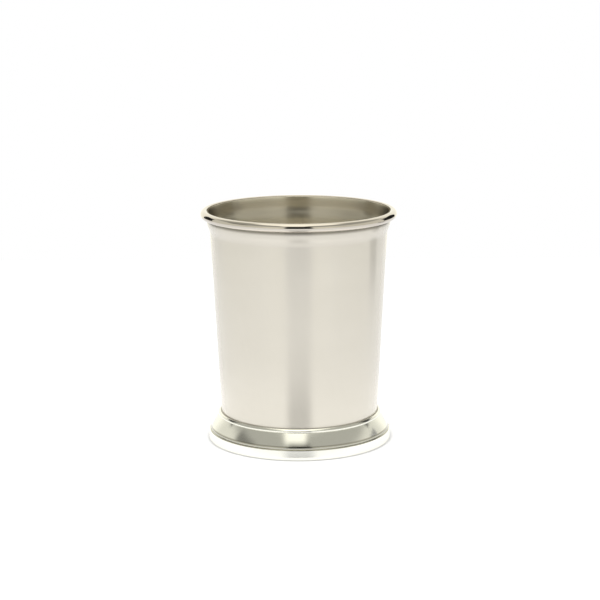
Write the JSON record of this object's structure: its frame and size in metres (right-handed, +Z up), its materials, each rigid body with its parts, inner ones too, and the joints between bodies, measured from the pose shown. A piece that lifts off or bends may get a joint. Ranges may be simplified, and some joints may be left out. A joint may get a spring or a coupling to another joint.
{
  "type": "julep cup",
  "caption": "Tapered metal beaker with a satin body, a polished round bead at the lip and a moulded, hollow foot.",
  "frame": {"origin": "centre of the sole, on the table", "axes": "+Z up along the cup's axis of symmetry"},
  "size_m": [0.089, 0.089, 0.1063],
  "materials": {
    "satin_metal": "satin, brushed round the axis",
    "polished_metal": "polished",
    "plate_metal": "turned satin",
    "solder": "matt"
  },
  "bodies": {
    "root": {"cup_body": "satin_metal", "rim_bead": "polished_metal", "rim_solder": "solder", "foot_ring": "polished_metal", "foot_solder": "solder", "base_plate": "plate_metal", "base_solder": "solder"}
  },
  "joints": []
}
